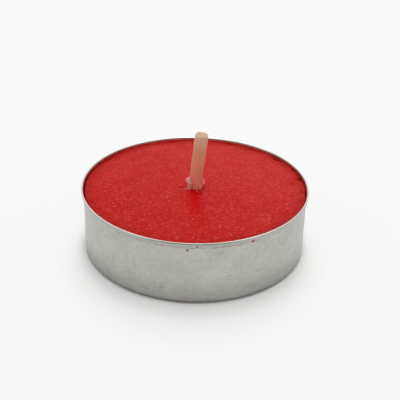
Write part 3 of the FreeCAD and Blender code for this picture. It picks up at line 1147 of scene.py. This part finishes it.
@dataclass
class Wick:
    """Waxed cord: upright out of the tablet, then bent right in one gentle arc, and cut off square."""

    foot: float = 0.37
    lean: float = 6.0
    lean_height: float = 2.15
    lean_radius: float = 15.0
    shoulder: float = 0.25
    crown: float = 0.05
    crimp_middle: float = 2.22
    crimp_half: float = 0.65
    crimp_depth: float = 0.2
    crimp_spread: float = 0.08
    strands: int = 11
    groove: float = 0.022
    waver: float = 0.018
    points: int = 96
    finish: Finish = WaxedCord()

    def build(self) -> bpy.types.Object:
        """Carries a round section with shallow strand grooves along the cord's line.

        The line is upright up to the arc, the arc leans by its length over its radius, and the
        rest leans by the whole angle. Each section stands square to the line. The radius follows
        a rounded shoulder at the tip, and the section is an oval at the crimp. The grooves are a
        cosine of the angle with a slow twist.

        Returns:
            The wick's object.
        """
        s = SIZES
        lean = math.radians(self.lean)
        corner = s.wax_top + self.lean_height
        start = corner - self.lean_radius * math.tan(lean / 2)
        arc = self.lean_radius * lean
        length = start + arc + (s.wick_tip - corner) / math.cos(lean)
        length -= self.lean_radius * math.tan(lean / 2)
        hidden = np.linspace(self.foot, s.wax_top - 0.5, 30)[:-1]
        shown = np.linspace(s.wax_top - 0.5, length - self.shoulder, 110)
        swing = np.linspace(0.0, 0.5 * math.pi, 9)[1:]
        shares = np.linspace(1.0, 0.0, 8)[1:-1]
        flat = s.wick_radius - self.shoulder
        along = np.concatenate([
            hidden, shown, length + self.shoulder * (np.sin(swing) - 1),
            length + self.crown * (1 - shares ** 2),
        ])[:, None]
        radius = np.concatenate([
            np.full(len(hidden) + len(shown), s.wick_radius), flat + self.shoulder * np.cos(swing),
            shares * flat,
        ])[:, None]
        angle = np.clip((along - start) / self.lean_radius, 0.0, lean)
        beyond = np.maximum(along - start - arc, 0.0)
        middle_x = self.lean_radius * (1 - np.cos(angle)) + beyond * math.sin(lean) + s.wick_offset
        middle_z = self.lean_radius * np.sin(angle) + beyond * math.cos(lean) + np.minimum(along, start)
        turn = angles(self.points)[None, :]
        body = fade((along - s.wax_top) / 0.8) * fade(radius / s.wick_radius * 3 - 2)
        waver = noise_round(np.degrees(turn), 9, along / 2.2, 31)
        groove = np.cos(self.strands * turn + 0.10 * along + waver * 1.2)
        radius = radius - body * self.groove * (0.5 - 0.5 * groove) + body * self.waver * waver
        squeeze = fade(1 - np.abs(along - self.crimp_middle) / self.crimp_half)
        across = (radius + self.crimp_spread * squeeze) * np.cos(turn)
        y = (radius - self.crimp_depth * squeeze) * np.sin(turn)
        x, z = middle_x + across * np.cos(angle), middle_z - across * np.sin(angle)
        piece = grid_mesh("waxed_wick", joined(x, y, z))
        return settle(piece, self.finish, "wick")


@dataclass
class CoatPetal:
    """Sharp-edged petal of coat at one side of the wick's foot."""

    side: Side
    reach: float
    edge_height: float
    top_height: float
    foot_reach: float
    sweep: float = 64.0
    seed: int = 41
    finish: Finish = PaleCoat()

    def build(self) -> bpy.types.Object:
        """Carries a wedge-shaped section part of the way round the wick.

        At an angle from the petal's middle the section shrinks towards a point in the wick by a
        power of the cosine, and noise moves its edge in and out.

        Returns:
            The petal's object.
        """
        inner, outer, foot = SIZES.wick_radius - 0.35, SIZES.wick_radius, 0.02
        outline = rounded_line([
            (inner, foot, 0), (outer + self.foot_reach, foot, 0.04),
            (outer + self.foot_reach * 0.4 + self.reach * 0.5, self.edge_height * 0.5, 0.3),
            (outer + self.reach, self.edge_height, 0.07),
            (outer + self.reach * 0.42, (self.edge_height + self.top_height) / 2 + 0.08, 0.25),
            (outer - 0.02, self.top_height, 0.06), (inner, self.top_height - 0.1, 0),
        ], 0.09)
        across, up = outline[:, 0][None, :], outline[:, 1][None, :]
        swing = np.radians(np.linspace(-self.sweep, self.sweep, 44))[1:-1, None]
        share = np.cos(swing * 90 / self.sweep) ** 0.55
        rough = lattice_noise(np.degrees(swing) / 14 + 9, up * 2.4, self.seed)
        pulled = across + 0.05 * rough * fade((across - outer) / 0.2)
        across = inner + (pulled - inner) * (0.35 + 0.65 * share) * np.minimum(1, share * 4)
        up = foot + (up - foot) * (0.55 + 0.45 * share) + SIZES.wax_top
        angle = swing + math.radians(self.side.value)
        x, y = SIZES.wick_offset + across * np.cos(angle), across * np.sin(angle)
        piece = grid_mesh(f"coat_petal_{self.side.name.lower()}", joined(x, y, up)[:, ::-1])
        return settle(piece, self.finish)


@dataclass
class Crumbs:
    """Crumbs of wax: lying on the tablet, at the wick's foot, and stuck to the cup.

    A row of wick_crumbs or foot_beads gives x, y, height over the wax and three radii. A row of
    cup_specks gives the angle in degrees, height, distance from the axis, and half sizes.
    """

    count: int = 150
    seed: int = 51
    pale: Finish = BrokenWax()
    red: Finish = BrokenWax("smeared_wax", (0.30, 0.035, 0.040), (0.48, 0.12, 0.13), 0.4)
    coat: Finish = PaleCoat("bead_coat", (0.98, 0.31, 0.27), (0.92, 0.31, 0.27), 0.0003)
    wick_crumbs: tuple[tuple[float, ...], ...] = (
        (-1.50, -0.86, 0.03, 0.34, 0.2, 0.16), (-1.22, -1.10, 0.0, 0.2, 0.15, 0.1),
        (-1.75, -0.55, 0.0, 0.16, 0.14, 0.1), (0.25, -1.45, -0.01, 0.3, 0.13, 0.07),
        (1.42, -0.95, 0.0, 0.2, 0.14, 0.09),
    )
    foot_beads: tuple[tuple[float, ...], ...] = (
        (-0.98, -0.80, 0.24, 0.30, 0.40, 0.74), (0.84, -0.82, 0.22, 0.28, 0.32, 0.64),
    )
    cup_specks: tuple[tuple[float, ...], ...] = (
        (-92.7, 9.89, 18.63, 0.19, 0.21), (-88.2, 10.74, 18.94, 0.17, 0.14),
        (-61.3, 10.56, 18.88, 0.34, 0.20), (-90.9, 9.72, 18.63, 0.07, 0.06),
        (-117.0, 10.32, 18.78, 0.10, 0.05), (-107.0, 10.28, 18.78, 0.12, 0.04),
        (-97.3, 0.28, 18.33, 0.22, 0.06), (-92.8, 0.30, 18.35, 0.26, 0.06),
        (-82.6, 0.8, 18.61, 0.16, 0.07), (-78.5, 0.32, 18.37, 0.18, 0.05),
    )

    def on_tablet(self) -> bpy.types.Object:
        """Fine crumbs strewn over the tablet, more of them to the front and right.

        Returns:
            The crumbs' object.
        """
        rng = np.random.default_rng(self.seed)
        angle = np.radians(rng.normal(-40.0, 75.0, self.count))
        radius = 17.6 * np.sqrt(rng.uniform(0.02, 1.0, self.count))
        centres = joined(radius * np.cos(angle), radius * np.sin(angle), np.array(SIZES.wax_top))
        size = 0.05 + 0.10 * rng.uniform(0, 1, (self.count, 1)) ** 2.5
        radii = size * rng.uniform(0.7, 1.2, (self.count, 3))
        piece = lumps_mesh("tablet_crumbs", centres, UP, radii, 52, 4, 6)
        return settle(piece, self.pale)

    def at_wick(self) -> list[bpy.types.Object]:
        """A few larger crumbs round the wick's foot, and beads of coat where it leaves the tablet.

        Returns:
            The two objects.
        """
        made = []
        for name, rows, seed, finish in (
            ("wick_crumbs", self.wick_crumbs, 53, self.pale),
            ("foot_beads", self.foot_beads, 55, self.coat),
        ):
            lumps = np.array(rows)
            centres = lumps[:, :3] + SIZES.wax_top * UP
            piece = lumps_mesh(name, centres, UP, lumps[:, 3:], seed)
            made.append(settle(piece, finish))
        return made

    def on_cup(self) -> bpy.types.Object:
        """Specks of wax stuck to the outside of the cup.

        Returns:
            The specks' object.
        """
        angle, height, radius, width, tall = np.array(self.cup_specks).T
        angle = np.radians(angle)
        normals = joined(np.cos(angle), np.sin(angle), 0 * angle)
        centres = normals * radius[:, None] + height[:, None] * UP
        radii = joined(width, tall, np.minimum(width, tall) * 0.5)
        piece = lumps_mesh("cup_specks", centres, normals, radii, 54)
        return settle(piece, self.red)


@dataclass
class Sustainer:
    """The tinplate sustainer keeps its solid and gets its finish."""

    finish: Finish = Tinplate()

    def build(self) -> bpy.types.Object:
        """Puts the tinplate on the sustainer's solid.

        Returns:
            The solid's object.
        """
        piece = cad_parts["wick_sustainer"]
        self.finish.dress(piece)
        LOG.info("%s: dressed", piece.name)
        return piece


@dataclass(frozen=True)
class Lamp:
    """A soft distant lamp: back and right from overhead and its width, in degrees, and its strength."""

    back: float
    right: float
    width: float
    strength: float

    def hang(self, name: str) -> None:
        """Adds the lamp to the scene.

        Args:
            name: Name of the lamp.
        """
        lamp = bpy.data.lights.new(name, "SUN")
        lamp.energy = self.strength
        lamp.angle = math.radians(self.width)
        holder = new_object(name, lamp)
        holder.rotation_euler = (-math.radians(self.back), math.radians(self.right), 0.0)


@dataclass
class Studio:
    """Pale floor, soft light from above and behind, and the camera."""

    floor_half: float = 3000.0
    floor_lines: int = 21
    sky: float = 0.43
    sky_shown: float = 1.0
    lamps: tuple[Lamp, ...] = (
        Lamp(10, 1, 60, 0.42), Lamp(-10, 1, 12, 0.49), Lamp(1, 1, 12, 0.37),
        Lamp(16, 1, 16, 0.47), Lamp(41, 1, 26, 0.25),
    )
    eye: Point = (0.83, -133.637, 82.099)
    tilt: float = 28.896
    roll: float = 1.411
    lens: float = 81.0
    sensor: float = 36.0
    near: float = 0.01
    far: float = 20.0
    finish: Finish = PaleFloor()

    def lay_floor(self) -> None:
        """Flat floor at height 0, its middle finer than its rim."""
        shares = np.linspace(-1, 1, self.floor_lines)
        ticks = np.sign(shares) * shares ** 2 * self.floor_half
        x, y = np.meshgrid(ticks, ticks, indexing="xy")
        index = np.arange(x.size).reshape(x.shape)
        faces = joined(index[:-1, :-1], index[:-1, 1:], index[1:, 1:], index[1:, :-1])
        vertices = joined(x, y, 0 * x).reshape(-1, 3)
        floor = new_surface("floor", vertices, faces.reshape(-1, 4).tolist())
        self.finish.dress(floor)

    def light(self) -> None:
        """Even sky, shown white, and soft lamps in a row from overhead to the back."""
        world = bpy.data.worlds.new("studio")
        bpy.context.scene.world = world
        world.use_nodes = True
        nodes = Nodes(world.node_tree)
        outputs = nodes.add("ShaderNodeLightPath").outputs
        camera, glossy, through = (
            Amount(nodes, outputs[f"Is {kind} Ray"]) for kind in ("Camera", "Glossy", "Transmission")
        )
        strength = camera.larger(glossy).larger(through) * (self.sky_shown - self.sky) + self.sky
        white = (1.0, 1.0, 1.0, 1.0)
        sky = nodes.link("ShaderNodeBackground", {}, {"Color": white, "Strength": strength})
        nodes.add("ShaderNodeOutputWorld", {}, {0: sky})
        for number, lamp in enumerate(self.lamps, 1):
            lamp.hang(f"lamp_{number}")

    def aim(self) -> None:
        """Camera at the photograph's angle: turned down by the tilt, then by the roll about its axis."""
        camera = bpy.data.cameras.new("camera")
        camera.lens, camera.sensor_width = self.lens, self.sensor
        camera.clip_start, camera.clip_end = self.near, self.far
        holder = new_object("camera", camera)
        upright = Matrix.Rotation(math.radians(90.0 - self.tilt), 4, "X")
        rolled = Matrix.Rotation(math.radians(self.roll), 4, "Z")
        holder.matrix_world = Matrix.Translation(Vector(self.eye) * MM) @ upright @ rolled
        bpy.context.scene.camera = holder

    def build(self) -> None:
        """Floor, light and camera, and plain colour management."""
        self.lay_floor()
        self.light()
        self.aim()
        bpy.context.scene.view_settings.view_transform = "Standard"
        LOG.info("studio: floor, light and camera")


@dataclass
class TeaLight:
    """The whole candle in its cup."""

    cup: Cup = field(default_factory=Cup)
    tablet: WaxTablet = field(default_factory=WaxTablet)
    wick: Wick = field(default_factory=Wick)
    petals: tuple[CoatPetal, ...] = (
        CoatPetal(Side.LEFT, 0.68, 1.24, 1.85, 0.36, 58.0),
        CoatPetal(
            Side.RIGHT, 0.46, 0.95, 1.75, -0.04, 50.0, 42,
            # The rosy petal's foot is painted lighter too: painted light through the thin coat.
            PaleCoat("rosy_coat", (1.0, 0.40, 0.36), (0.98, 0.180, 0.170)),
        ),
    )
    crumbs: Crumbs = field(default_factory=Crumbs)
    sustainer: Sustainer = field(default_factory=Sustainer)

    def build(self) -> None:
        """Builds the pieces from the cup inwards."""
        for piece in (self.cup, self.sustainer, self.tablet, self.wick, *self.petals):
            piece.build()
        self.crumbs.on_tablet()
        self.crumbs.at_wick()
        self.crumbs.on_cup()


def main() -> None:
    """Builds the studio and the candle."""
    logging.basicConfig(level=logging.INFO, format="%(name)s: %(message)s")
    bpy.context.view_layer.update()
    Studio().build()
    TeaLight().build()


if __name__ == "__main__":
    main()
